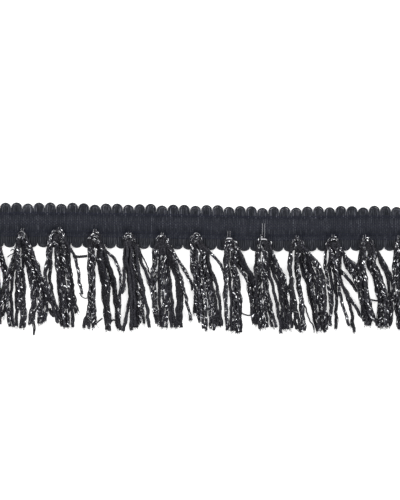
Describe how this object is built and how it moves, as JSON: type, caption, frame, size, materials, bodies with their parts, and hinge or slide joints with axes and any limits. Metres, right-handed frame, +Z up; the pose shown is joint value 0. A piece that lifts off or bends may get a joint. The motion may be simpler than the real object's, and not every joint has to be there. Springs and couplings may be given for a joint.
{
  "type": "fringe trim",
  "caption": "Cut length of bunch fringe trim: a scalloped gimp heading with folded yarn bunches hanging to loose cut ends, laid flat.",
  "frame": {"origin": "on the surface the trim lies on, below the centre of its box", "axes": "+X along the trim, +Y from the fringe's cut ends to the heading's upper edge, +Z up through the trim's thickness to its face"},
  "size_m": [0.1742, 0.0524, 0.0082],
  "materials": {
    "heading_gimp": "matte woven black gimp braid",
    "bunch_yarn": "black satin cord and black cord with silver filament"
  },
  "bodies": {
    "root": {"heading": "heading_gimp", "bunch_01": "bunch_yarn", "bunch_02": "bunch_yarn", "bunch_03": "bunch_yarn", "bunch_04": "bunch_yarn", "bunch_05": "bunch_yarn", "bunch_06": "bunch_yarn", "bunch_07": "bunch_yarn", "bunch_08": "bunch_yarn", "bunch_09": "bunch_yarn", "bunch_10": "bunch_yarn", "bunch_11": "bunch_yarn", "bunch_12": "bunch_yarn", "bunch_13": "bunch_yarn"}
  },
  "joints": []
}
